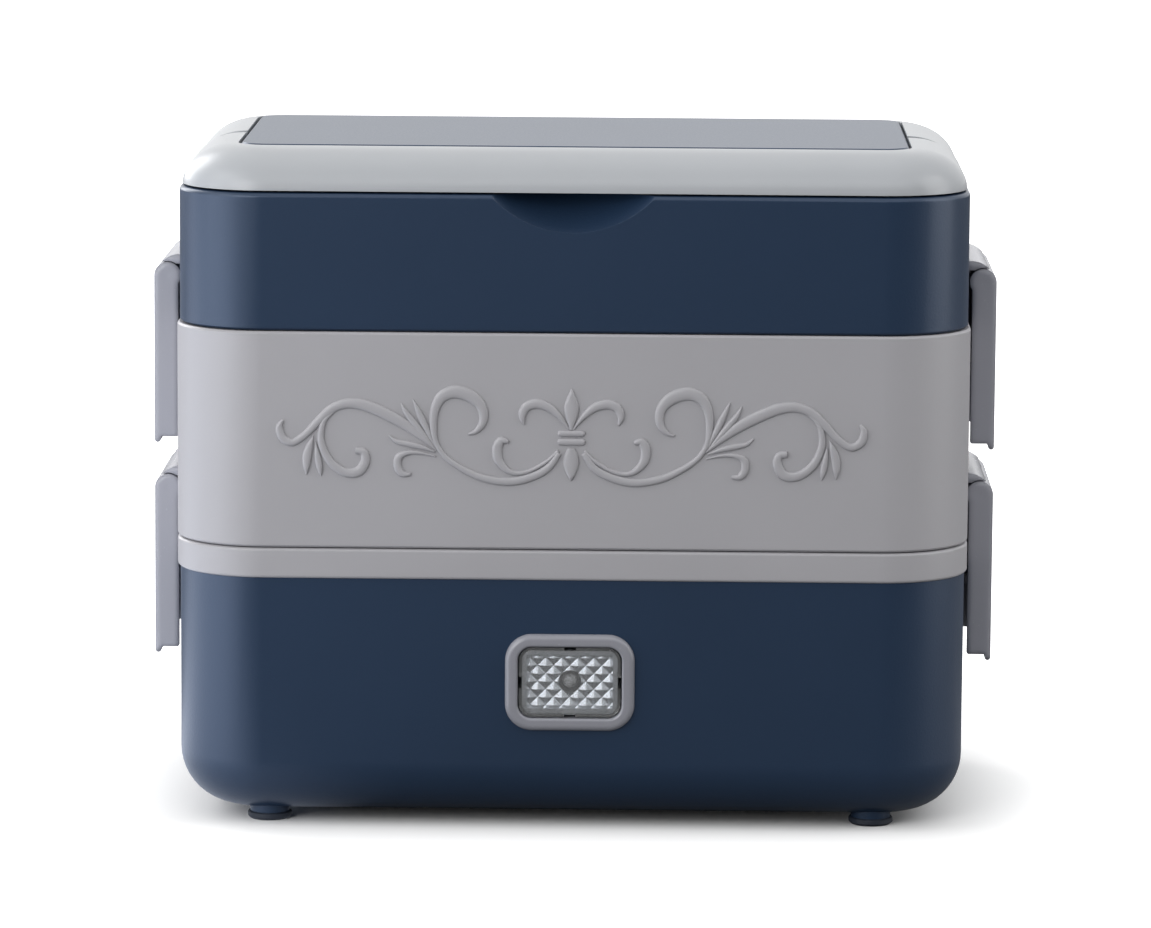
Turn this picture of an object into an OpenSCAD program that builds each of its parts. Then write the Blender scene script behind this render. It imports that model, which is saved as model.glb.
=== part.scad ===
// Two-tier electric lunch box: heated base, food tier, domed lid with a fold-down carrying handle,
// four side latches and a lit power button. Millimetres, +Z up, front face towards -Y,
// origin on the ground under the middle of the box.

/* [Casing] */
// Width of the food tier and the collar, side to side
body_w = 236; // [220:1:280]
// Depth of the food tier and the collar, front to back
body_d = 136; // [130:1:180]
// Plan radius of the casing's upright corners
corner_r = 27; // [25:0.5:34]
// Thickness of the moulded casing walls
wall = 2.4; // [2:0.1:3]
// How far the base and the lid stand back from the food tier
tier_inset = 0.8; // [0.4:0.1:1.2]
// Radius of the base's rounded bottom edge
base_fillet = 17; // [12:0.5:20]

/* [Tiers] */
// Height of the feet under the base
foot_h = 3.5; // [3:0.1:6]
// Height of the heated base
base_h = 72; // [68:1:90]
// Height of the collar on top of the base
collar_h = 9; // [8:0.5:12]
// Height of the food tier
tier_h = 64.3; // [58:0.1:90]
// Height of the lid's upright wall
lid_h = 40.7; // [36:0.1:60]
// Seam between two tiers
seam = 0.3; // [0.2:0.05:0.6]
// Width of the flat rims that meet between the tiers
rim_w = 8; // [7.5:0.5:10]
// Width of the silicone seals
seal_w = 3; // [2:0.1:3.4]
// Depth of the groove that holds a seal
seal_groove = 1.5; // [1:0.1:1.8]

/* [Handle and lid top] */
// Height of the rounded shoulder above the lid's wall
shoulder_h = 12.5; // [11:0.1:15]
// Width of the rounded shoulder, seen from above
shoulder_w = 16.5; // [14:0.1:18]
// How far the shoulder stands back from the lid's wall
shoulder_inset = 0.9; // [0.5:0.1:1.5]
// Wall of the handle and of the rear frame
handle_wall = 2.4; // [2:0.1:3]
// Gap between the folded handle and the lid's roof
handle_gap = 0.6; // [0.4:0.1:1]
// Gap between the handle and the top panel
panel_gap = 0.6; // [0.5:0.1:1]
// How far the handle's hinge lies in front of the middle
hinge_forward = 10; // [4:0.5:20]
// Radius of the handle's hinge pins
handle_pin_r = 1.8; // [1.4:0.1:2.2]
// Width of the finger scoop under the handle
scoop_w = 49; // [40:1:60]
// Height of the finger scoop
scoop_h = 11; // [8:0.5:13]
// Depth of the finger scoop at the lid's roof
scoop_d = 11.5; // [8:0.5:14]

/* [Latches] */
// Width of each latch, front to back
latch_w = 50; // [44:1:70]
// How far a latch stands out from the food tier
latch_out = 8.4; // [8.2:0.1:10]
// Length of a latch below its seam
latch_drop = 38.5; // [30:0.5:39]
// Height of a latch's hood above its seam
hood_rise = 17.7; // [17:0.1:19]
// Outer radius of a latch's hood
hood_r = 7.7; // [7.4:0.1:8]
// Height of a latch's hinge above its seam
hinge_rise = 11.3; // [11:0.1:11.6]
// Radius of a latch's hinge barrel
barrel_r = 4; // [3.8:0.05:4.1]
// Radius of a latch's hinge pin
latch_pin_r = 1.2; // [1:0.05:1.3]
// Thickness of a latch's outer skin and end walls
latch_skin = 2; // [1.6:0.1:2.2]
// Depth of the catch ridge's underside below its seam
catch_drop = 13.6; // [12.5:0.1:16]
// How far the catch ridge stands out from the food tier
catch_out = 2.6; // [2:0.1:3]

/* [Power button] */
// Width of the button's bezel
bezel_w = 38.4; // [36:0.1:44]
// Height of the button's bezel
bezel_h = 29; // [27:0.1:34]
// Corner radius of the bezel
bezel_r = 8; // [7:0.1:10]
// Width of the bezel's border
bezel_border = 3.8; // [3.4:0.1:4.4]
// How far the bezel stands proud of the base
bezel_proud = 1.8; // [1.4:0.1:2.6]
// Height of the button's centre above the base's underside
button_up = 41.5; // [38:0.5:46]
// Travel of the button
button_travel = 1.2; // [0.8:0.1:1.5]
// Pitch of the pyramids on the reflector, measured across their flanks
facet_pitch = 3.36; // [2.8:0.02:4.5]
// Height of the reflector's pyramids
facet_h = 1.1; // [0.8:0.05:1.4]

/* [Heating and food] */
// Gap from the casing's side to the heating pan
pan_side = 15; // [14:0.5:20]
// Gap from the casing's front to the heating pan
pan_front = 18; // [17:0.5:22]
// Height of the heating pan's underside above the base's underside
pan_up = 38.5; // [37:0.5:44]
// Thickness of the steel sheet in pan and containers
sheet = 0.8; // [0.6:0.1:1.2]
// Thickness of the heater block under the pan
heater_t = 8; // [6:0.5:10]
// Width of the heater block
heater_w = 120; // [90:1:130]
// Depth of the heater block
heater_d = 60; // [46:1:64]
// Gap between a container and what stands around it
container_gap = 2; // [1.5:0.1:3]
// Height of the mains inlet's centre above the base's underside
inlet_up = 28; // [26:0.5:30]

/* [Hidden] */
$fn = 72;

// Colours
navy = "#2b3a50";
grey = "#9c9ba0";
handle_grey = "#b0b4b8";
latch_grey = "#8a8c94";
steel = "#c8cacc";
black = "#202124";
silicone = "#e4e4e0";

// Heights of the seams
base_z = foot_h;
collar_z = base_z + base_h;
lower_seam = collar_z + collar_h;
tier_z = lower_seam + seam;
upper_seam = lower_seam + tier_h;
lid_z = upper_seam + seam;
roof_z = upper_seam + lid_h;
top_z = roof_z + shoulder_h;

// Plan of the navy mouldings, a little inside the grey ones
navy_w = body_w - 2 * tier_inset;
navy_d = body_d - 2 * tier_inset;
navy_r = corner_r - tier_inset;

// Working clearances
fit = 0.3;
running = 0.05;
edge_round = 0.6;
arc_steps = 12;
lap = 3;

// Shoulder shared by the handle and the rear frame
shoulder_plan_w = navy_w - 2 * shoulder_inset;
shoulder_plan_d = navy_d - 2 * shoulder_inset;
shoulder_plan_r = navy_r - shoulder_inset;
handle_z = roof_z + handle_gap;
handle_h = top_z - handle_z;
handle_end_r = handle_h / 2;
pivot_y = -hinge_forward;
pivot_z = handle_z + handle_end_r;
panel_w = shoulder_plan_w - 2 * (shoulder_w + panel_gap);
panel_d = shoulder_plan_d - 2 * (shoulder_w + panel_gap);
panel_r = shoulder_plan_r - shoulder_w - panel_gap;
panel_proud = 0.2;
panel_wall = 2.2;
panel_bevel = 0.9;

// Latches: positions are measured outwards from the middle of the box
tier_side = body_w / 2;
navy_side = navy_w / 2;
latch_x = tier_side + latch_out;
latch_pivot_x = latch_x - barrel_r;
hood_x = latch_x - hood_r;
hood_drop = hood_rise - hood_r;
hood_inner_r = barrel_r + 0.4;
knuckle_r = latch_pin_r + 1.4;
knuckle_at = latch_w * 0.24;
knuckle_w = 6;
hook_in = 0.6;
hook_gap = 0.4;
hook_t = 3.5;
hook_half = latch_w / 2 - 5;
latch_back = 1.2;
hood_inner_end = 125;

// Button stack, as heights above the base's front face (negative goes inwards)
sleeve_wall = 0.9;
sleeve_w = bezel_w - 2 * (bezel_border - sleeve_wall);
sleeve_h = bezel_h - 2 * (bezel_border - sleeve_wall);
sleeve_r = bezel_r - (bezel_border - sleeve_wall);
sleeve_in = 10;
lens_play = 0.35;
lens_w = bezel_w - 2 * (bezel_border + lens_play);
lens_h = bezel_h - 2 * (bezel_border + lens_play);
lens_r = bezel_r - bezel_border - lens_play;
lens_front = 0.9;
lens_t = 1.6;
lens_skirt = 0.9;
lens_deep = 6;
notch_w = 3.4;
notch_d = 0.8;
reflector_rim = 1.4;
reflector_front = lens_front - lens_t - 0.4;
reflector_t = 1.2;
lamp_hole_r = 3.4;
lamp_r = 2.25;
board_front = -sleeve_in;
board_t = 1.6;
button_z = base_z + button_up;
button_y = -navy_d / 2;

// Heating pan and containers
wire_r = 1;
strap_w = 14;
strap_gap = 6;
strap_foot = 8;
thermostat_r = 8;
thermostat_h = 7;
thermostat_ear_w = 11;
thermostat_ear_d = 24;
pan_w = body_w - 2 * pan_side;
pan_d = body_d - 2 * pan_front;
pan_r = 20;
pan_foot_r = 8;
pan_z = base_z + pan_up;
pan_flange = 6;
// The heat cut-outs sit between the strap's feet and the pan's rounded foot
cutout_x = (heater_w / 2 + strap_gap + strap_foot + pan_w / 2 - pan_foot_r) / 2;
shelf_z = collar_z + wall;
shelf_w = rim_w + 4;
box_r = 17;
lower_box_w = pan_w - 2 * (sheet + container_gap);
lower_box_d = pan_d - 2 * (sheet + container_gap);
lower_box_z = pan_z + sheet;
lower_box_h = lower_seam - 4 - lower_box_z;
tier_floor_z = tier_z + wall;
upper_box_w = body_w - 2 * (rim_w + container_gap);
upper_box_d = body_d - 2 * (rim_w + container_gap);
upper_box_h = upper_seam - 3 - tier_floor_z;
food_lid_t = 1.6;
food_lid_lip = 4;

// Mains inlet, a standard appliance socket
inlet_z = base_z + inlet_up;
inlet_w = 27;
inlet_h = 20;
inlet_deep = 20;
inlet_flange = 2;
inlet_cavity_w = 24.2;
inlet_cavity_h = 16.8;
inlet_cavity_deep = 16.5;
blade_w = 2;
blade_h = 4;
blade_pitch = 7;
blade_offset = 2;

// Bottom cover, screws and feet
cover_in = 23;
cover_w = navy_w - 2 * cover_in;
cover_d = navy_d - 2 * cover_in;
cover_r = 3;
ledge_w = 7;
screw_in = 5;
screw_r = 1.5;
screw_head_r = 3;
boss_r = 3.4;
boss_h = 12;
foot_r = 6.6;
foot_pad = 2.2;
foot_neck_r = 5.9;
foot_peg_r = 2.5;
foot_x = navy_w / 2 - 27.2;
foot_y = navy_d / 2 - 17.2;

// Points along an arc, both ends included
function arc(x, y, r, from, to, n = arc_steps) =
    [for (i = [0:n]) let (a = from + (to - from) * i / n) [x + r * cos(a), y + r * sin(a)]];

// Points along a quarter of an ellipse that starts upright at x = inset and ends level at the top
function shoulder_curve(inset, low, w, h) =
    [for (i = [0:arc_steps]) let (a = 90 * i / arc_steps) [inset + w * (1 - cos(a)), low + h * sin(a)]];

// ---------- shared shapes ----------

// Rounded rectangle
module outline(w, d, r) {
    square([w - 2 * r, d], center = true);
    square([w, d - 2 * r], center = true);
    for (x = [-1, 1], y = [-1, 1])
        translate([x * (w / 2 - r), y * (d / 2 - r)]) circle(r);
}

module prism(w, d, r, low, high) {
    translate([0, 0, low]) linear_extrude(high - low) outline(w, d, r);
}

// One upright corner of a swept section; the section's x runs inwards from the outer face
module swept_corner(w, d, r) {
    translate([w / 2 - r, d / 2 - r, 0])
        rotate_extrude(angle = 90) translate([r, 0]) mirror([1, 0]) children();
}

// A straight run of a swept section along the side at +X, from y = a to y = b
module swept_side(w, a, b) {
    translate([w / 2, b, 0]) rotate([90, 0, 0]) linear_extrude(b - a) mirror([1, 0]) children();
}

// A straight run of a swept section along the back, x from -half to half
module swept_back(d, half) {
    translate([-half, d / 2, 0]) rotate([90, 0, 90]) linear_extrude(2 * half) mirror([1, 0]) children();
}

// A section swept all the way round a rounded rectangle
module swept(w, d, r) {
    for (x = [0, 1], y = [0, 1])
        mirror([x, 0, 0]) mirror([0, y, 0]) swept_corner(w, d, r) children();
    for (y = [0, 1]) mirror([0, y, 0]) swept_back(d, w / 2 - r) children();
    for (x = [0, 1]) mirror([x, 0, 0]) swept_side(w, -(d / 2 - r), d / 2 - r) children();
}

// A section swept round the back only, as a U whose arms end at y = arm_end
module swept_u(w, d, r, arm_end) {
    for (x = [0, 1]) mirror([x, 0, 0]) {
        swept_corner(w, d, r) children();
        swept_side(w, arm_end, d / 2 - r) children();
    }
    swept_back(d, w / 2 - r) children();
}

// The flat middle of a swept moulding, from a given distance inside its outer face
module plate(w, d, r, inset, low, high) {
    prism(w - 2 * inset, d - 2 * inset, r - inset, low, high);
}

// A pressed steel box: rounded foot, upright wall and a turned-out rim
module steel_box(w, d, r, low, h, foot, rim) {
    inner = foot - sheet;
    swept(w, d, r) polygon(concat(
        [[-rim, low + h], [-rim, low + h - sheet], [0, low + h - sheet]],
        arc(foot, low + foot, foot, 180, 270),
        [[foot + lap, low], [foot + lap, low + sheet]],
        arc(foot, low + foot, inner, 270, 180),
        [[sheet, low + h]]
    ));
    plate(w, d, r, foot + lap / 2, low, low + sheet);
}

// A moulded food lid: flat plate with a lip that hangs inside the box
module food_lid(w, d, r, low) {
    prism(w, d, r, low, low + food_lid_t);
    difference() {
        prism(w - 7, d - 7, r - 3.5, low - food_lid_lip, low + 0.1);
        prism(w - 10, d - 10, r - 5, low - food_lid_lip - 1, low);
    }
}

// Moves children to a front-face frame: x to the right, y upwards, z out of the front
module on_front(z) {
    translate([0, button_y, z]) rotate([90, 0, 0]) children();
}

// The same on the rear face, z out of the back
module on_back(z) {
    translate([0, navy_d / 2, z]) rotate([90, 0, 180]) children();
}

// ---------- base ----------

module base_section() {
    polygon(concat(
        [[0, collar_z]],
        arc(base_fillet, base_z + base_fillet, base_fillet, 180, 270),
        [[base_fillet + lap, base_z], [base_fillet + lap, base_z + wall]],
        arc(base_fillet, base_z + base_fillet, base_fillet - wall, 270, 180),
        [[wall, collar_z]]
    ));
}

// Ridge that a latch's hook catches under; it stands on the side wall at x = side
module catch_ridge(side, seam_z) {
    low = seam_z - catch_drop;
    high = seam_z - collar_h - 0.1;
    tip = tier_side + catch_out;
    for (m = [0, 1]) mirror([m, 0, 0])
        rotate([90, 0, 0]) linear_extrude(2 * hook_half - 4, center = true)
            polygon([[side - 1, low], [tip, low], [tip, low + 1.2], [side - 1, high]]);
}

module screw_places() {
    for (x = [-1, 1], y = [-1, 1])
        translate([x * (cover_w / 2 - screw_in), y * (cover_d / 2 - screw_in), 0]) children();
}

module foot_places() {
    for (x = [-1, 1], y = [-1, 1]) translate([x * foot_x, y * foot_y, 0]) children();
}

module base_shell() {
    color(navy) difference() {
        union() {
            swept(navy_w, navy_d, navy_r) base_section();
            plate(navy_w, navy_d, navy_r, base_fillet + lap / 2, base_z, base_z + wall);
            prism(cover_w + ledge_w, cover_d + ledge_w, cover_r + ledge_w / 2,
                base_z + wall / 2, base_z + 2 * wall);
            screw_places() translate([0, 0, base_z + wall]) cylinder(r = boss_r, h = boss_h);
            foot_places() translate([0, 0, foot_pad])
                cylinder(r = foot_neck_r, h = base_z + wall - foot_pad);
            catch_ridge(navy_side, lower_seam);
        }
        prism(cover_w + 2 * fit, cover_d + 2 * fit, cover_r, base_z - 1, base_z + wall);
        prism(cover_w - 2 * ledge_w, cover_d - 2 * ledge_w, cover_r, base_z - 1, base_z + 3 * wall);
        screw_places() translate([0, 0, base_z]) cylinder(r = screw_r, h = wall + boss_h - 2);
        foot_places() translate([0, 0, foot_pad - 1]) cylinder(r = foot_peg_r + running, h = 3.5);
        on_front(button_z) translate([0, 0, -2 * wall])
            linear_extrude(3 * wall) outline(sleeve_w + fit, sleeve_h + fit, sleeve_r);
        on_back(inlet_z) translate([0, 0, -2 * wall])
            linear_extrude(3 * wall) outline(inlet_w + fit, inlet_h + fit, 2);
    }
}

module bottom_cover() {
    color(navy) difference() {
        prism(cover_w, cover_d, cover_r - fit, base_z, base_z + wall);
        screw_places() translate([0, 0, base_z - 1]) cylinder(r = screw_r + 0.3, h = wall + 2);
        screw_places() translate([0, 0, base_z - 0.01])
            cylinder(r1 = screw_head_r + 0.3, r2 = screw_r + 0.3, h = screw_head_r - screw_r);
        for (x = [-5:5]) translate([x * 9, 0, base_z - 1]) linear_extrude(wall + 2) outline(3, 30, 1.4);
    }
}

module bottom_screws() {
    color(steel) screw_places() difference() {
        translate([0, 0, base_z]) union() {
            cylinder(r1 = screw_head_r, r2 = screw_r - running, h = screw_head_r - screw_r + running);
            cylinder(r = screw_r - running, h = wall + boss_h - 3);
        }
        for (a = [0, 90]) translate([0, 0, base_z]) rotate(a) cube([3.4, 0.7, 1.6], center = true);
    }
}

module feet() {
    color(navy) foot_places() {
        rotate_extrude() polygon([[0, 0], [foot_r - 0.7, 0], [foot_r, 0.7], [foot_r, foot_pad - 0.4],
            [foot_r - 0.4, foot_pad], [0, foot_pad]]);
        translate([0, 0, foot_pad - 0.1]) cylinder(r = foot_peg_r, h = 2.3);
    }
}

// Grey collar: outer wall, sealing rim, shelf for the pan and a skirt that plugs into the base
module collar_ring() {
    skirt = tier_inset + wall + fit;
    color(grey) swept(body_w, body_d, corner_r) polygon([
        [edge_round, collar_z], [0, collar_z + edge_round],
        [0, lower_seam - edge_round], [edge_round, lower_seam],
        [rim_w, lower_seam], [rim_w, lower_seam - wall],
        [wall, lower_seam - wall], [wall, shelf_z],
        [shelf_w, shelf_z], [shelf_w, collar_z],
        [skirt + 2, collar_z], [skirt + 2, collar_z - 6],
        [skirt, collar_z - 6], [skirt, collar_z]
    ]);
}

// ---------- heating ----------

module heating_pan() {
    color(steel) steel_box(pan_w, pan_d, pan_r, pan_z, shelf_z + sheet - pan_z, pan_foot_r, pan_flange);
}

module heater_block() {
    color("#9a9ca0") difference() {
        prism(heater_w, heater_d, 6, pan_z - heater_t, pan_z);
        for (x = [-2:2]) translate([x * heater_w / 6, 0, pan_z - heater_t / 2])
            cube([2, heater_d + 2, heater_t / 2], center = true);
    }
}

// Spring-steel strap that presses the block against the pan
module heater_strap() {
    half = heater_w / 2 + strap_gap;
    color(steel) rotate([90, 0, 0]) linear_extrude(strap_w, center = true) polygon([
        [-half - strap_foot, pan_z], [-half, pan_z], [-half, pan_z - heater_t], [half, pan_z - heater_t],
        [half, pan_z], [half + strap_foot, pan_z],
        [half + strap_foot, pan_z - sheet], [half + sheet, pan_z - sheet],
        [half + sheet, pan_z - heater_t - sheet], [-half - sheet, pan_z - heater_t - sheet],
        [-half - sheet, pan_z - sheet], [-half - strap_foot, pan_z - sheet]
    ]);
}

module thermostat() {
    color(steel) translate([cutout_x, 0, 0]) {
        translate([0, 0, pan_z - thermostat_h]) cylinder(r = thermostat_r, h = thermostat_h);
        translate([0, 0, pan_z - 1]) linear_extrude(1) outline(thermostat_ear_w, thermostat_ear_d, 4);
        for (y = [-1, 1])
            translate([-0.4, y * 4 - 2, pan_z - thermostat_h - 6]) cube([0.8, 4, 6.5]);
    }
}

module thermal_fuse() {
    color(silicone) translate([-cutout_x, 0, pan_z - 2.2]) {
        rotate([90, 0, 0]) cylinder(r = 2, h = 12, center = true);
        for (y = [-1, 1]) translate([0, y * 5, 1.1]) cube([6, 1.2, 2.2], center = true);
    }
}

// ---------- mains inlet ----------

module inlet_socket() {
    color(black) on_back(inlet_z) difference() {
        union() {
            linear_extrude(bezel_proud) outline(inlet_w + 2 * inlet_flange, inlet_h + 2 * inlet_flange, 3);
            translate([0, 0, -inlet_deep]) linear_extrude(inlet_deep + 0.1) outline(inlet_w, inlet_h, 2);
        }
        translate([0, 0, bezel_proud - inlet_cavity_deep]) linear_extrude(inlet_cavity_deep + 1)
            outline(inlet_cavity_w, inlet_cavity_h, 3);
        for (x = [-1, 0, 1])
            translate([x * blade_pitch - blade_w / 2, (x == 0 ? blade_offset : -blade_offset) - blade_h / 2,
                -inlet_deep - 1]) cube([blade_w, blade_h, inlet_deep]);
    }
}

module inlet_pins() {
    color("#c9b36a") on_back(inlet_z) for (x = [-1, 0, 1])
        translate([x * blade_pitch - blade_w / 2, (x == 0 ? blade_offset : -blade_offset) - blade_h / 2, 0])
            translate([0, 0, -inlet_deep - 6]) cube([blade_w, blade_h, inlet_deep + 4]);
}

// A wire that runs straight along the axes from point to point, with a crimp block at each bend
module wire(points) {
    for (i = [0:len(points) - 2]) {
        step = points[i + 1] - points[i];
        translate(points[i]) rotate([0, acos(step[2] / norm(step)), atan2(step[1], step[0])])
            cylinder(r = wire_r, h = norm(step), $fn = 24);
    }
    for (i = [1:len(points) - 2]) translate(points[i]) cube(3 * wire_r, center = true);
}

module wiring() {
    pin_y = navy_d / 2 - inlet_deep - 6;
    side = cutout_x;
    low = inlet_z - blade_offset;
    board_y = button_y + sleeve_in + board_t;
    block_y = 4 - heater_d / 2;
    color("#b43a32") for (m = [0, 1]) mirror([m, 0, 0]) {
        end_z = m == 0 ? low + 2.5 : pan_z - 2.2;
        wire([[blade_pitch, pin_y, low], [blade_pitch, pin_y - 5, low], [side, pin_y - 5, low],
            [side, 10, low], [side, 10, end_z], [side, 6, end_z]]);
        wire([[side, -6, end_z], [side, -10, end_z], [side, -10, low], [side, block_y, low],
            [heater_w / 2 - 10, block_y, low], [heater_w / 2 - 10, block_y, pan_z - heater_t]]);
        wire([[heater_w / 2 - 10, block_y - 1, low], [heater_w / 2 - 10, block_y - 8, low],
            [10, block_y - 8, low], [10, board_y + 4, low], [10, board_y + 4, button_z - 7],
            [10, board_y, button_z - 7]]);
    }
}

// ---------- power button ----------

module button_bezel() {
    top = bezel_proud;
    color(latch_grey) on_front(button_z) swept(bezel_w, bezel_h, bezel_r) polygon(concat(
        [[0, 0]],
        arc(top, 0, top, 180, 90, 6),
        arc(bezel_border - 0.8, top - 0.8, 0.8, 90, 0, 6),
        [[bezel_border, -sleeve_in], [bezel_border - sleeve_wall, -sleeve_in],
        [bezel_border - sleeve_wall, 0]]
    ));
}

// Clear cap over the reflector; snap hooks pass through a notch in the middle of each side
module lens_cover() {
    color([0.85, 0.88, 0.9, 0.4]) on_front(button_z) difference() {
        translate([0, 0, lens_front - lens_deep]) linear_extrude(lens_deep) outline(lens_w, lens_h, lens_r);
        translate([0, 0, lens_front - lens_deep - 1]) linear_extrude(lens_deep + 1 - lens_t)
            outline(lens_w - 2 * lens_skirt, lens_h - 2 * lens_skirt, lens_r - lens_skirt);
        for (side = [-1, 1]) {
            translate([0, side * lens_h / 2, 0]) cube([notch_w, 2 * notch_d, 2 * lens_deep], center = true);
            translate([side * lens_w / 2, 0, 0]) cube([2 * notch_d, notch_w, 2 * lens_deep], center = true);
        }
    }
}

// Mirror plate with square pyramids set cornerwise, cut by two families of V grooves
module lens_reflector() {
    w = lens_w - 2 * (lens_skirt + running);
    h = lens_h - 2 * (lens_skirt + running);
    span = (w + h) * 0.75;
    count = ceil(span / 2 / facet_pitch);
    flat = 0.15;
    color("#d8dadc") on_front(button_z) difference() {
        translate([0, 0, reflector_front - reflector_t - facet_h]) linear_extrude(reflector_t + facet_h)
            outline(w, h, lens_r - lens_skirt);
        intersection() {
            translate([0, 0, reflector_front - facet_h - 0.2]) linear_extrude(facet_h + 1)
                square([w - 2 * reflector_rim, h - 2 * reflector_rim], center = true);
            union() for (turn = [45, -45], i = [-count:count])
                rotate(turn) translate([i * facet_pitch, 0, reflector_front]) rotate([90, 0, 0])
                    linear_extrude(span, center = true)
                        polygon([[-(facet_pitch - flat) / 2, 0.02], [0, -facet_h],
                            [(facet_pitch - flat) / 2, 0.02]]);
        }
        translate([0, 0, -20]) cylinder(r = lamp_hole_r, h = 30);
    }
}

module button_board() {
    color("#2f6b45") on_front(button_z) translate([0, 0, board_front - board_t])
        linear_extrude(board_t) outline(sleeve_w, sleeve_h, sleeve_r);
}

module led_lamp() {
    tip = lens_front - lens_t - button_travel - fit;
    color([0.9, 0.9, 0.92, 0.8]) on_front(button_z) {
        translate([0, 0, board_front]) cylinder(r = lamp_r + 0.35, h = 1);
        translate([0, 0, board_front]) cylinder(r = lamp_r, h = tip - lamp_r - board_front);
        translate([0, 0, tip - lamp_r]) sphere(lamp_r);
    }
}

module switch_body() {
    high = reflector_front - reflector_t - facet_h - button_travel - 0.6;
    color(black) on_front(button_z) difference() {
        translate([5, -4, board_front]) cube([8, 8, high - board_front]);
        translate([9, 0, high - 3]) cylinder(r = 1.7 + 2 * running, h = 4);
    }
}

module switch_plunger() {
    back = reflector_front - reflector_t - facet_h;
    color(latch_grey) on_front(button_z) translate([9, 0, back - 2.2]) cylinder(r = 1.7, h = 2.2);
}

// ---------- food containers ----------

module lower_container() {
    color(steel) steel_box(lower_box_w, lower_box_d, box_r, lower_box_z, lower_box_h, 8, 1.2);
}

module lower_container_lid() {
    color([0.8, 0.84, 0.88, 0.6]) food_lid(lower_box_w, lower_box_d, box_r, lower_box_z + lower_box_h);
}

module upper_container() {
    color(steel) steel_box(upper_box_w, upper_box_d, box_r, tier_floor_z, upper_box_h, 8, 1.2);
}

module upper_container_lid() {
    color([0.8, 0.84, 0.88, 0.6]) food_lid(upper_box_w, upper_box_d, box_r, tier_floor_z + upper_box_h);
}

// ---------- food tier and lid ----------

// Ring of silicone in a groove; stand_off is the groove's distance from the moulding's outer face
module seal_ring(w, d, r, stand_off, low) {
    color(silicone) swept(w, d, r)
        translate([stand_off + running, low - seam]) square([seal_w - 2 * running, seal_groove + seam]);
}

module tier_seal() {
    seal_ring(body_w, body_d, corner_r, wall + 1.8, tier_z);
}

module lid_seal() {
    seal_ring(navy_w, navy_d, navy_r, wall + 1.4, lid_z);
}

module tier_shell() {
    groove = wall + 1.8;
    color(grey) difference() {
        union() {
            swept(body_w, body_d, corner_r) polygon([
                [edge_round, tier_z], [0, tier_z + edge_round],
                [0, upper_seam - edge_round], [edge_round, upper_seam],
                [rim_w, upper_seam], [rim_w, upper_seam - wall],
                [wall, upper_seam - wall], [wall, tier_floor_z],
                [rim_w + lap, tier_floor_z], [rim_w + lap, tier_z],
                [groove + seal_w, tier_z], [groove + seal_w, tier_z + seal_groove],
                [groove, tier_z + seal_groove], [groove, tier_z]
            ]);
            plate(body_w, body_d, corner_r, rim_w + lap / 2, tier_z, tier_floor_z);
            catch_ridge(tier_side, upper_seam);
        }
        for (x = [-3:3]) translate([x * 24, 0, tier_z - 1]) linear_extrude(wall + 2) outline(6, 60, 2.9);
    }
}

// The scoop is a bite of a sphere; its rim on the front face is scoop_w wide and scoop_h high
module scoop_ball(grow) {
    rim = (pow(scoop_w / 2, 2) + pow(scoop_h, 2)) / (2 * scoop_h);
    up = rim - scoop_h;
    ahead = (rim * rim - up * up - scoop_d * scoop_d) / (2 * scoop_d);
    translate([0, -navy_d / 2 - ahead, roof_z + up])
        sphere(sqrt(rim * rim + ahead * ahead) + grow, $fn = 120);
}

module lid_shell() {
    groove = wall + 1.4;
    edge = 1.4;
    color(navy) difference() {
        union() {
            swept(navy_w, navy_d, navy_r) polygon(concat(
                [[edge_round, lid_z], [0, lid_z + edge_round]],
                arc(edge, roof_z - edge, edge, 180, 90, 5),
                [[rim_w + lap, roof_z], [rim_w + lap, roof_z - wall]],
                [[wall, roof_z - wall], [wall, lid_z + wall],
                [rim_w, lid_z + wall], [rim_w, lid_z],
                [groove + seal_w, lid_z], [groove + seal_w, lid_z + seal_groove],
                [groove, lid_z + seal_groove], [groove, lid_z]]
            ));
            plate(navy_w, navy_d, navy_r, rim_w + lap / 2, roof_z - wall, roof_z);
            intersection() {
                scoop_ball(wall);
                translate([-scoop_w / 2 - 6, -navy_d / 2 + wall / 2, roof_z - scoop_h - 8])
                    cube([scoop_w + 12, 30, scoop_h + 8 - wall / 2]);
            }
        }
        scoop_ball(0);
    }
}

module handle_bore(r, from, to) {
    for (m = [0, 1]) mirror([m, 0, 0])
        translate([from, pivot_y, pivot_z]) rotate([0, 90, 0]) cylinder(r = r, h = to - from);
}

// Navy panel: a shallow upturned tray on the lid's roof, with its top edge bevelled
module lid_panel() {
    high = top_z + panel_proud;
    color(navy) difference() {
        union() {
            swept(panel_w, panel_d, panel_r) polygon([
                [0, roof_z], [0, high - panel_bevel], [panel_bevel, high],
                [panel_wall + lap, high], [panel_wall + lap, high - panel_wall],
                [panel_wall, high - panel_wall],
                [panel_wall, roof_z]
            ]);
            plate(panel_w, panel_d, panel_r, panel_wall + lap / 2, high - panel_wall, high);
            handle_bore(handle_pin_r + 2, panel_w / 2 - 8, panel_w / 2 - 1);
        }
        handle_bore(handle_pin_r, panel_w / 2 - 9, panel_w / 2 + 1);
    }
}

// Hollow shoulder section shared by the handle and the rear frame
module shoulder_section(low) {
    inner = handle_wall;
    inner_start = 3.4;
    inside = shoulder_curve(inner, low, shoulder_w - inner, top_z - low - inner);
    polygon(concat(
        shoulder_curve(0, low, shoulder_w, top_z - low),
        [[shoulder_w, low + inner_start], [shoulder_w - inner, low + inner_start]],
        [for (i = [arc_steps:-1:0]) if (inside[i][0] < shoulder_w - inner - 0.6) inside[i]]
    ));
}

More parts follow.
